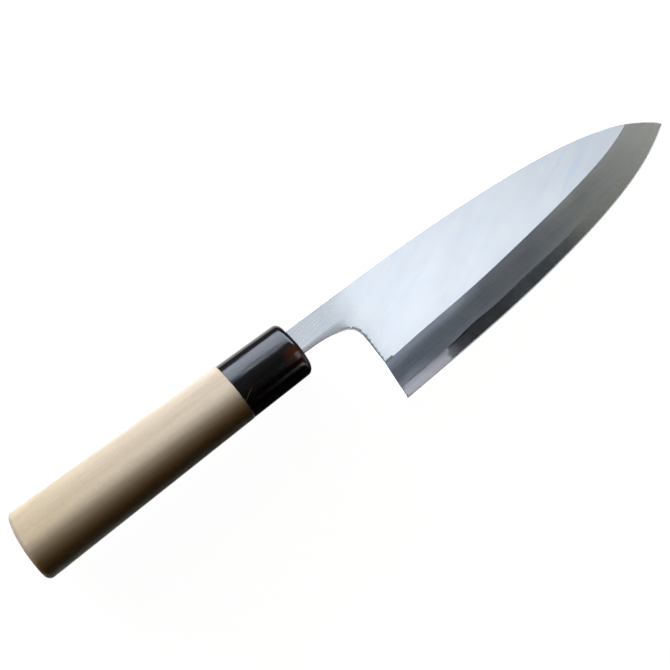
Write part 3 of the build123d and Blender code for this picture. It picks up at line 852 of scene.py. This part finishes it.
def pitch_material():
    m = bpy.data.materials.new("pitch_plug")
    t = Tree(m)
    obj = t.node("ShaderNodeTexCoord").outputs["Object"]
    kn = t.vec("MULTIPLY", obj, (1000.0, 1000.0, 1000.0))
    lump = t.noise(kn, 0.9, 4.0, 0.6)
    fine = t.noise(kn, 4.0, 3.0, 0.6)
    col = t.mix(t.step(lump, 0.3, 0.7), (0.012, 0.009, 0.008), (0.045, 0.030, 0.020))
    rough = t.add(0.42, t.mul(fine, 0.25))
    nrm = t.bump(t.add(lump, t.mul(fine, 0.4)), 0.00015, 0.6)
    t.surface(col, rough, nrm, 0.0, Specular_IOR_Level=0.4)
    return m


WOOD, HORN = wood_material(), horn_material()
FLAT, BEVEL_IRON, SIDE = iron_flat_material(), iron_bevel_material(), iron_side_material()
BEVEL_STEEL, EDGE_STEEL, BACK = steel_bevel_material(), edge_material(), steel_back_material()
PITCH_PLUG = pitch_material()


# ---------------------------------------------------------------------------
# blade: iron and steel from the shared plan
# ---------------------------------------------------------------------------
def make_blade():
    pts, tris = plan_mesh()
    a, b, c = pts[tris[:, 0]], pts[tris[:, 1]], pts[tris[:, 2]]
    area = (b[:, 0] - a[:, 0]) * (c[:, 1] - a[:, 1]) - (b[:, 1] - a[:, 1]) * (c[:, 0] - a[:, 0])
    tris = np.where((area < 0)[:, None], tris[:, ::-1], tris)
    tris = tris[np.abs(area) > 1e-7]
    front, weld, back, q = blade_heights(pts)
    mid = pts[tris].mean(1)
    m_front, m_weld, m_back, mq = blade_heights(mid)
    weld = np.where(np.abs(weld - front) < 0.02, front, weld)
    weld = np.where(np.abs(weld - W_BACK) < 0.02, W_BACK, weld)
    above_weld = (m_front > m_weld) | (mid[:, 0] < 24.0)
    steel_here = mid[:, 0] > 7.17
    on_bevel = (mq["flat_gap"] > 0) & (mid[:, 0] > 20.0)
    on_micro = (mq["d_edge"] < MICRO_W) & (mid[:, 0] > 20.0)
    bv = np.stack([np.clip(1 - q["k"], 0, 2) * q["width"], q["k"] * q["width"],
                   (front - weld) / 0.37], 1)
    bv_back = np.stack([bv[:, 0], bv[:, 1], q["raw"]], 1)

    def solid(name, use, top, bottom, top_mat, bottom_mat, side_mat, mats, bv_bottom):
        """Closed mesh between two height fields over the chosen triangles."""
        index, verts, kn, extra = {}, [], [], []

        def vertex(i, level):
            same = abs(top[i] - bottom[i]) < 1e-4
            key = (i, 0 if same else level)
            if key not in index:
                index[key] = len(verts)
                h = top[i] if key[1] == 0 else bottom[i]
                verts.append((pts[i, 0], pts[i, 1], h))
                kn.append((pts[i, 0], pts[i, 1], h))
                extra.append(bv[i] if key[1] == 0 else bv_bottom[i])
            return index[key]

        faces, mat = [], []
        border = {}
        for t in np.nonzero(use)[0]:
            f = [int(i) for i in tris[t]]
            if all(abs(top[i] - bottom[i]) < 1e-4 for i in f):
                continue
            faces.append([vertex(i, 0) for i in f])
            mat.append(top_mat[t])
            faces.append([vertex(i, 1) for i in reversed(f)])
            mat.append(bottom_mat[t])
            for i in range(3):
                e = (f[i], f[(i + 1) % 3])
                if (e[1], e[0]) in border:
                    del border[(e[1], e[0])]
                else:
                    border[e] = True
        for (i, j) in border:
            ring = [vertex(j, 0), vertex(i, 0), vertex(i, 1), vertex(j, 1)]
            loop = [x for n_, x in enumerate(ring) if x != ring[n_ - 1]]
            if len(loop) >= 3:
                faces.append(loop)
                mat.append(side_mat)
        verts_, kn_ = np.array(verts), np.array(kn)
        sharp = sharp_pairs(verts_, faces, 24.0)
        # crisp lines that turn less than that
        level = {}
        for (i, l), n_ in index.items():
            level[n_] = (i, l)

        def crisp(i, j):
            same = level[i][1] == level[j][1] == 0
            x, y = level[i][0], level[j][0]
            both = lambda arr, tol: abs(arr[x]) < tol and abs(arr[y]) < tol
            if same and both(q["flat_gap"], 0.004) and pts[x, 0] > 20 and pts[y, 0] > 20:
                return True
            if same and both(q["d_edge"] - MICRO_W, 0.01) and pts[x, 0] > 20:
                return True
            if same and both(weld - front, 1e-6) and pts[x, 0] > 126 and both(q["flat_gap"] - 1e3, 2e3):
                return True
            return level[i][1] == level[j][1] == 1 and both(q["raw"], 0.0015) and abs(pts[x, 0] - 110) < 80
        for f in faces:
            if len(f) == 3:
                for n_ in range(3):
                    i, j = f[n_], f[(n_ + 1) % 3]
                    if crisp(i, j):
                        sharp.add(tuple(sorted((i, j))))
        return add_mesh(name, verts_, faces, mats, mat, kn_, extra, sharp)

    # iron: from the weld (or the back plane where there is no steel) to the front
    iron_low = np.maximum(weld, np.where(pts[:, 0] > NECK_U + 1e-6, W_BACK, -99.0))
    iron_low = np.where(pts[:, 0] <= 7.17 + 1e-6, back, np.minimum(iron_low, front))
    fillet_zone = np.where(mid[:, 0] < -4.0, 2, np.where(on_bevel, 1, 0))
    iron = solid("visual_iron", above_weld, front, iron_low, fillet_zone,
                 np.where(mid[:, 0] < -4.0, 2, np.where(steel_here, 2, 0)), 2,
                 [FLAT, BEVEL_IRON, SIDE], bv_back)
    steel_top = np.minimum(weld, front)
    steel_top = np.where(pts[:, 0] < 24.0, np.minimum(weld, front), steel_top)
    steel_low = np.where(np.abs(pts[:, 0] - 7.17) < 0.02, steel_top, np.minimum(back, steel_top))
    steel_mat = np.where(on_micro, 1, 0)
    steel = solid("visual_steel", steel_here, steel_top, steel_low, steel_mat,
                  np.full(len(tris), 2), 3, [BEVEL_STEEL, EDGE_STEEL, BACK, SIDE], bv_back)
    return iron, steel


# ---------------------------------------------------------------------------
# handle and ferrule: rings along the axis
# ---------------------------------------------------------------------------
RING = 256
dense = curve(D_SECTION, 8000, closed=True)
dense[:, 1] *= W_RATIO
section = respace(dense, np.hypot(*np.diff(dense, axis=0).T).sum() / RING)[:-1]
turn = np.roll(section, -1, axis=0) - np.roll(section, 1, axis=0)
turn /= np.hypot(turn[:, 0], turn[:, 1])[:, None]
out_n = np.stack([turn[:, 1], -turn[:, 0]], 1)
if (out_n * section).sum() < 0:
    out_n = -out_n
polar = np.arctan2(section[:, 1], section[:, 0])
RING = len(section)


def half_height(u):
    return np.interp(u, [-HANDLE_L - 1.0, -FERRULE_L, -FERRULE_L / 2, 0.0],
                     [H_BUTT, H_JOINT, (H_JOINT + H_FRONT) / 2 + 0.03, H_FRONT])


def d_ring(u, inset=0.0):
    """Ring of the D; u is one number or one per point."""
    u = np.broadcast_to(np.asarray(u, float), (RING,))
    p = section * half_height(u)[:, None] - out_n * inset
    return np.column_stack([u, p])


def dome_u(p, r=0.0):
    """Position along the axis of the domed butt, r inside it, for points (v, w)."""
    q = (DOME_R - r) ** 2 - (p[:, 0] - DOME_V) ** 2 - (p[:, 1] - DOME_W) ** 2
    return -HANDLE_L + DOME_R - np.sqrt(q)


def oval_ring(u, a, b):
    # same angle on the oval as on the D
    r = 1 / np.sqrt((np.cos(polar) / a) ** 2 + (np.sin(polar) / b) ** 2)
    return np.column_stack([np.full(RING, u), r * np.cos(polar), r * np.sin(polar)])


def box_ring(u, cv, cw, hv, hw, corner=0.0):
    """Rectangle with rounded corners, sampled at the same angles."""
    c, s = np.cos(polar), np.sin(polar)
    t = np.minimum(hv / np.maximum(np.abs(c), 1e-9), hw / np.maximum(np.abs(s), 1e-9))
    if corner > 0:
        # move hits in the corner squares onto the corner circles
        cx, cy = hv - corner, hw - corner
        x, y = np.abs(c), np.abs(s)
        bq = -(x * cx + y * cy)
        cq = cx * cx + cy * cy - corner * corner
        disc = np.maximum(bq * bq - cq, 0)
        tc = -bq + np.sqrt(disc)
        hit = (tc * x > cx) & (tc * y > cy)
        t = np.where(hit, tc, t)
    return np.column_stack([np.full(RING, u), cv + t * c, cw + t * s])


def ring_mesh(name, rings, mats, mat_of, first_cap, last_cap, loop=False, floor_clamp=False, mark=None):
    verts = np.vstack(rings)
    n, faces, mat = RING, [], []
    count = len(rings)
    for i in range(count if loop else count - 1):
        a, b = i * n, ((i + 1) % count) * n
        for j in range(n):
            k = (j + 1) % n
            faces.append([a + j, b + j, b + k, a + k])
            mat.append(mat_of(i))
    extra = []
    if first_cap:
        tip = rings[0].mean(0)
        tip[0] = dome_u(tip[None, 1:])[0]
        extra.append(tip)
        c = len(verts) + len(extra) - 1
        for j in range(n):
            faces.append([c, j, (j + 1) % n])
            mat.append(mat_of(0))
    if last_cap:
        extra.append(rings[-1].mean(0))
        c = len(verts) + len(extra) - 1
        a = (count - 1) * n
        for j in range(n):
            faces.append([c, a + (j + 1) % n, a + j])
            mat.append(mat_of(count - 1))
    if extra:
        verts = np.vstack([verts, extra])
    if floor_clamp:
        z = world(verts)[:, 2] * 1000.0
        verts = verts.copy()
        verts[:, 2] += np.where(z < 0, -z / W[2], 0.0)
    # outward faces
    tri = np.array([(f[0], f[i], f[i + 1]) for f in faces for i in range(1, len(f) - 1)])
    p = verts[tri]
    if (p[:, 0] * np.cross(p[:, 1], p[:, 2])).sum() < 0:
        faces = [f[::-1] for f in faces]
    sharp = sharp_pairs(verts, faces, 28.0)
    reading = None
    if mark is not None:
        reading = np.repeat(np.array([(a, b, 0.0) for a, b in mark]), n, axis=0)
        reading = np.vstack([reading] + ([[mark[0] + (0.0,)]] if first_cap else [])
                            + ([[mark[-1] + (0.0,)]] if last_cap else []))
    return add_mesh(name, verts, faces, mats, mat, verts, reading, sharp)


def make_wood():
    # ball rolled inside the butt's rim
    r = BUTT_R
    ball = d_ring(-HANDLE_L + r + 1.0, r)
    ball[:, 0] = dome_u(ball[:, 1:], r)
    ball[:, 1:] = (section * half_height(ball[:, 0])[:, None]) - out_n * r
    ball[:, 0] = dome_u(ball[:, 1:], r)
    crown = np.array([-HANDLE_L + DOME_R, DOME_V, DOME_W])
    to_dome = (ball - crown) / (DOME_R - r)
    to_side = np.column_stack([np.zeros(RING), out_n])
    span = np.arccos(np.clip((to_dome * to_side).sum(1), -1, 1))[:, None]
    rings, mark = [], []
    inner = ball + to_dome * r
    centre = inner[:, 1:].mean(0)
    for share in (0.2, 0.4, 0.6, 0.8, 0.93):
        p = centre + (inner[:, 1:] - centre) * share
        rings.append(np.column_stack([dome_u(p), p]))
        mark.append((1.0, 0.0))
    for x in np.linspace(0, 1, 11):
        rings.append(ball + r * (to_dome * np.sin((1 - x) * span) + to_side * np.sin(x * span)) / np.sin(span))
        # readings per ring: end grain, and where on the rounding the painted rim shade falls
        mark.append((1.0 if x < 0.15 else 0.0, math.sin(math.pi * min(x / 0.9, 1.0)) ** 0.5 if x < 0.95 else 0.15))
    stop = -FERRULE_L - 0.14
    for x in np.linspace(0, 1, 34)[1:]:
        rings.append(d_ring(ball[:, 0] * (1 - x) + stop * x))
        mark.append((0.0, 0.0))
    rings.append(d_ring(-FERRULE_L - 0.03, 0.09))
    rings.append(d_ring(-FERRULE_L, 0.13))
    rings.append(oval_ring(-FERRULE_L, TENON_V + 0.4, TENON_W + 0.4))
    rings.append(oval_ring(-FERRULE_L, TENON_V, TENON_W))
    end = -FERRULE_L + TENON_L - END_GAP
    for uu in np.linspace(-FERRULE_L, end - 0.4, 5)[1:]:
        rings.append(oval_ring(uu, TENON_V, TENON_W))
    rings.append(oval_ring(end, TENON_V - 0.4, TENON_W - 0.4))

    def slot(uu):
        t = (NECK_U - uu) / (NECK_U - (TANG_END - 2.0))
        vt = TANG_ROOT[0] + (TANG_TAIL[0] - TANG_ROOT[0]) * t
        vb = TANG_ROOT[1] + (TANG_TAIL[1] - TANG_ROOT[1]) * t
        hw = TANG_ROOT[2] + (TANG_TAIL[2] - TANG_ROOT[2]) * t
        return box_ring(uu, (vt + vb) / 2, 0.0, (vt - vb) / 2 + SLOT_GAP, hw + SLOT_GAP)

    for uu in np.linspace(end, TANG_END - 2.0, 12):
        rings.append(slot(uu))
    mark += [(0.0, 0.0)] * (len(rings) - len(mark))
    return ring_mesh("visual_handle", rings, [WOOD], lambda i: 0, True, True, mark=mark)


def make_ferrule():
    rings = []
    back = -FERRULE_L
    rings.append(oval_ring(back, TENON_V + GLUE_GAP, TENON_W + GLUE_GAP))
    rings.append(oval_ring(back, TENON_V + 0.9, TENON_W + 0.9))
    rings.append(d_ring(back, 0.06))
    rings.append(d_ring(back + 0.06))
    for uu in np.linspace(back, -FRONT_R, 14)[1:]:
        rings.append(d_ring(uu))
    for phi in np.linspace(0, 90, 13)[1:]:
        a = math.radians(phi)
        uu = -FRONT_R * (1 - math.sin(a))
        rings.append(d_ring(uu, FRONT_R * (1 - math.cos(a))))
    cv = (NECK_TOP + NECK_BOTTOM) / 2
    hv, hw = (NECK_TOP - NECK_BOTTOM) / 2 + MOUTH_GAP, NECK_T / 2 + MOUTH_GAP
    last = rings[-1]
    edge = box_ring(0.0, cv, -0.1, hv + 0.22, hw + 0.22, 1.0)
    rings.append(last + (edge - last) * 0.5)
    rings.append(edge)
    rings.append(box_ring(-0.07, cv, -0.1, hv + 0.07, hw + 0.07, 0.87))
    rings.append(box_ring(-0.22, cv, -0.1, hv, hw, 0.8))
    inner_end = back + TENON_L
    for uu in (-2.0, -5.0, inner_end):
        rings.append(box_ring(uu, cv, -0.1, hv, hw, 0.8))
    for uu in np.linspace(inner_end, back, 7)[:-1]:
        rings.append(oval_ring(uu, TENON_V + GLUE_GAP, TENON_W + GLUE_GAP))
    return ring_mesh("visual_ferrule", rings, [HORN], lambda i: 0, False, False, loop=True, floor_clamp=True)


iron, steel = make_blade()
wood = make_wood()
ferrule = make_ferrule()
for piece, node, slot in ((iron, "blade_iron", "soft_iron"), (steel, "blade_steel", "hard_steel"),
                          (wood, "handle_wood", "handle_wood"), (ferrule, "horn_ferrule", "horn")):
    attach(piece, "root")
    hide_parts(node)

seal = frame["nodes"]["tang_seal"]
seal.data.materials.clear()
seal.data.materials.append(PITCH_PLUG)


# ---------------------------------------------------------------------------
# light, floor, camera
# ---------------------------------------------------------------------------
def make_world():
    """Studio light by direction, given as azimuth from +u to +v and height over the blade's plane."""
    wd = bpy.data.worlds.new("studio")
    bpy.context.scene.world = wd
    wd.cycles_visibility.glossy = False
    t = Tree(wd)
    d = t.node("ShaderNodeTexCoord").outputs["Generated"]
    du, dv, dw = (t.vec("DOT_PRODUCT", d, tuple(float(x) for x in ax)) for ax in (U, V, W))
    az = t.mul(t.math("ARCTAN2", dv, du), 180.0 / math.pi)
    el = t.mul(t.math("ARCSINE", t.math("MAXIMUM", t.math("MINIMUM", dw, 1.0), -1.0)), 180.0 / math.pi)
    # low window beyond the spine
    key = t.mul(window(t, az, 50.0, 62.0, 97.0, 108.0), window(t, el, 3.5, 8.5, 24.0, 31.5))
    key = t.mul(key, t.step(el, 8.0, 26.0, 5.2, 3.3, "LINEAR"))
    # its brighter lower part towards the handle's end
    low = t.mul(window(t, az, 86.0, 94.0, 116.0, 128.0), window(t, el, 0.0, 1.0, 6.0, 11.0))
    # warm bounce over it
    warm = t.mul(window(t, az, 98.0, 112.0, 150.0, 180.0), window(t, el, 12.0, 18.0, 36.0, 52.0))
    # faint bounce from below on the edge's side
    below = t.mul(window(t, az, -165.0, -135.0, -45.0, -15.0), window(t, el, -80.0, -60.0, -12.0, 2.0))
    total = t.shade((0.765, 0.84, 0.862), key)
    total = t.vec("ADD", total, t.shade((34.0, 35.0, 38.2), low))
    total = t.vec("ADD", total, t.shade((0.84, 0.42, 0.05), warm))
    total = t.vec("ADD", total, t.shade((0.024, 0.018, 0.014), below))
    total = t.vec("ADD", total, (0.003, 0.0024, 0.0019))
    # light table under the set: it reaches only faces that look down
    total = t.vec("ADD", total, t.shade((8.6, 8.5, 8.2), t.step(el, -74.0, -81.0)))
    light = t.node("ShaderNodeBackground", {"Color": total, "Strength": 1.0})
    shown = t.node("ShaderNodeBackground", {"Color": (1.0, 1.0, 1.0, 1.0), "Strength": 1.0})
    path = t.node("ShaderNodeLightPath")
    mix = t.node("ShaderNodeMixShader")
    t.put(mix.inputs[0], path.outputs["Is Camera Ray"])
    t.put(mix.inputs[1], light.outputs[0])
    t.put(mix.inputs[2], shown.outputs[0])
    out = t.node("ShaderNodeOutputWorld")
    t.put(out.inputs[0], mix.outputs[0])


def make_reflectors():
    """Soft panels round the set: all that glossy surfaces reflect."""
    r, na, ne = 20.0, 48, 24
    verts = [tuple(r * x for x in (math.cos(e) * math.cos(a), math.cos(e) * math.sin(a), math.sin(e)))
             for e in np.radians(np.linspace(-90, 90, ne + 1)[1:-1]) for a in np.radians(np.arange(na) * 360.0 / na)]
    verts += [(0, 0, -r), (0, 0, r)]
    faces = []
    for i in range(ne - 2):
        for j in range(na):
            k = (j + 1) % na
            faces.append((i * na + j, i * na + k, (i + 1) * na + k, (i + 1) * na + j))
    for j in range(na):
        k = (j + 1) % na
        faces.append((len(verts) - 2, k, j))
        faces.append((len(verts) - 1, (ne - 2) * na + j, (ne - 2) * na + k))
    mesh = bpy.data.meshes.new("reflectors")
    mesh.from_pydata(verts, [], faces)
    dome = bpy.data.objects.new("reflectors", mesh)
    bpy.context.scene.collection.objects.link(dome)
    m = bpy.data.materials.new("reflector_glow")
    t = Tree(m)
    d = t.vec("NORMALIZE", t.node("ShaderNodeTexCoord").outputs["Object"])
    du, dv, dw = (t.vec("DOT_PRODUCT", d, tuple(float(x) for x in ax)) for ax in (U, V, W))
    az = t.mul(t.math("ARCTAN2", dv, du), 180.0 / math.pi)
    el = t.mul(t.math("ARCSINE", t.math("MAXIMUM", t.math("MINIMUM", dw, 1.0), -1.0)), 180.0 / math.pi)
    # overhead panel for the flat of the blade
    over = t.mul(window(t, du, 0.235, 0.264, 0.60, 0.74), window(t, dv, -0.27, -0.19, 0.04, 0.12))
    over = t.mul(over, t.mul(t.step(dw, 0.0, 0.1), t.sub(t.step(du, 0.27, 0.37, 1.76, 1.12, "LINEAR"),
                                                             t.step(du, 0.40, 0.60, 0.0, 0.50, "LINEAR"))))
    # dim wall over the cutting edge's side, and its bright end
    room = t.mul(window(t, az, -68.0, -64.0, 0.0, 10.0), window(t, el, 20.0, 30.0, 52.0, 60.0))
    room = t.mul(room, t.step(az, -55.0, -18.0, 0.075, 0.36))
    strip = t.mul(window(t, az, -73.0, -70.0, -67.0, -64.5), window(t, el, 30.0, 34.0, 48.0, 54.0))
    strip = t.mul(strip, t.step(du, 0.205, 0.240))
    # narrow panel for the fine bevel of the edge
    fringe = t.mul(window(t, az, -72.0, -69.0, -15.0, -5.0), window(t, el, 8.0, 13.0, 25.0, 30.0))
    fringe = t.mul(fringe, t.step(du, 0.205, 0.240))
    # walls behind the handle's end, and low ones all round
    behind = t.add(t.mul(window(t, el, 16.0, 28.0, 60.0, 80.0), 0.75), 0.22)
    behind = t.add(behind, t.step(el, -12.0, -35.0, 0.0, 2.2))
    behind = t.mul(behind, t.step(du, 0.10, -0.06))
    # the low window beyond the spine
    key = t.mul(window(t, az, 28.0, 40.0, 84.0, 94.0), window(t, el, 5.5, 11.0, 24.0, 31.5))
    key = t.mul(key, t.step(el, 8.0, 26.0, 5.4, 4.0, "LINEAR"))
    low = t.mul(t.mul(window(t, el, -35.0, -10.0, 6.0, 18.0), t.step(dv, 0.2, -0.5)), t.step(du, 0.25, 0.45, 0.02, 0.12))
    # the lit table, dark on the edge's side where the knife shades it
    table = t.mul(t.mul(t.step(el, -19.0, -33.0), t.step(dv, -0.50, -0.12, 0.01, 1.0)), t.step(du, -0.08, 0.06))
    table = t.mul(table, t.add(t.step(dv, 0.3, 0.7, 1.0, 1.9), t.step(el, -44.0, -60.0, 0.0, 1.2)))
    total = t.shade((1.06, 1.14, 1.24), over)
    total = t.vec("ADD", total, t.shade((0.96, 1.0, 1.0), room))
    total = t.vec("ADD", total, t.shade((2.15, 2.18, 2.38), strip))
    total = t.vec("ADD", total, t.shade((0.88, 0.89, 0.90), fringe))
    total = t.vec("ADD", total, t.shade((0.82, 0.86, 0.92), behind))
    total = t.vec("ADD", total, t.shade((0.80, 0.80, 0.80), table))
    total = t.vec("ADD", total, t.shade((0.9, 0.95, 1.0), low))
    total = t.vec("ADD", total, t.shade((0.95, 1.07, 1.25), key))
    glow = t.node("ShaderNodeEmission", {"Color": total, "Strength": 1.0})
    clear = t.node("ShaderNodeBsdfTransparent")
    both = t.node("ShaderNodeAddShader")
    t.put(both.inputs[0], glow.outputs[0])
    t.put(both.inputs[1], clear.outputs[0])
    out = t.node("ShaderNodeOutputMaterial")
    t.put(out.inputs[0], both.outputs[0])
    m.cycles.emission_sampling = "NONE"
    mesh.materials.append(m)
    dome.visible_camera = dome.visible_diffuse = False
    dome.visible_transmission = dome.visible_shadow = False


def make_floor():
    mesh = bpy.data.meshes.new("floor")
    s = 3.0
    mesh.from_pydata([(-s, -s, 0), (s, -s, 0), (s, s, 0), (-s, s, 0)], [], [(0, 1, 2, 3)])
    floor = bpy.data.objects.new("floor", mesh)
    bpy.context.scene.collection.objects.link(floor)
    floor.location.z = -0.0002
    m = bpy.data.materials.new("floor_paper")
    t = Tree(m)
    p = t.node("ShaderNodeTexCoord").outputs["Object"]
    g = t.noise(t.vec("MULTIPLY", p, (900.0, 900.0, 900.0)), 1.0, 2.0, 0.5)
    glow = t.node("ShaderNodeEmission", {"Color": (0.982, 0.982, 0.982, 1.0), "Strength": 1.0})
    matt = t.node("ShaderNodeBsdfDiffuse", {"Color": t.mix(g, (0.10, 0.10, 0.10), (0.12, 0.12, 0.12))})
    both = t.node("ShaderNodeAddShader")
    t.put(both.inputs[0], glow.outputs[0])
    t.put(both.inputs[1], matt.outputs[0])
    out = t.node("ShaderNodeOutputMaterial")
    t.put(out.inputs[0], both.outputs[0])
    mesh.materials.append(m)
    floor.visible_diffuse = floor.visible_glossy = False
    floor.visible_transmission = floor.visible_shadow = False


def make_camera():
    cam = bpy.data.cameras.new("camera")
    cam.sensor_width, cam.lens = 36.0, 55.2247
    cam.clip_start, cam.clip_end = 0.01, 20.0
    obj = bpy.data.objects.new("camera", cam)
    bpy.context.scene.collection.objects.link(obj)
    frame_axes = np.stack([U, V, W])
    right = np.array([0.77456007, -0.59334156, 0.21909469]) @ frame_axes
    up = np.array([0.58709325, 0.80332156, 0.09997995]) @ frame_axes
    ahead = np.array([0.23532575, -0.05118854, -0.97056763]) @ frame_axes
    ahead = ahead + (up - right) * 0.0004865
    ahead /= np.linalg.norm(ahead)
    right -= ahead * (right @ ahead)
    right /= np.linalg.norm(right)
    up = np.cross(right, ahead)
    place = world(np.array([[-80.66099903, 15.01688062, 400.0]]))[0]
    m = Matrix.Identity(4)
    for i, axis in enumerate((right, up, -ahead)):
        for j in range(3):
            m[j][i] = float(axis[j])
    for j in range(3):
        m[j][3] = float(place[j])
    obj.matrix_world = m
    bpy.context.scene.camera = obj


make_world()
make_reflectors()
make_floor()
make_camera()
bpy.context.scene.view_settings.view_transform = "Standard"
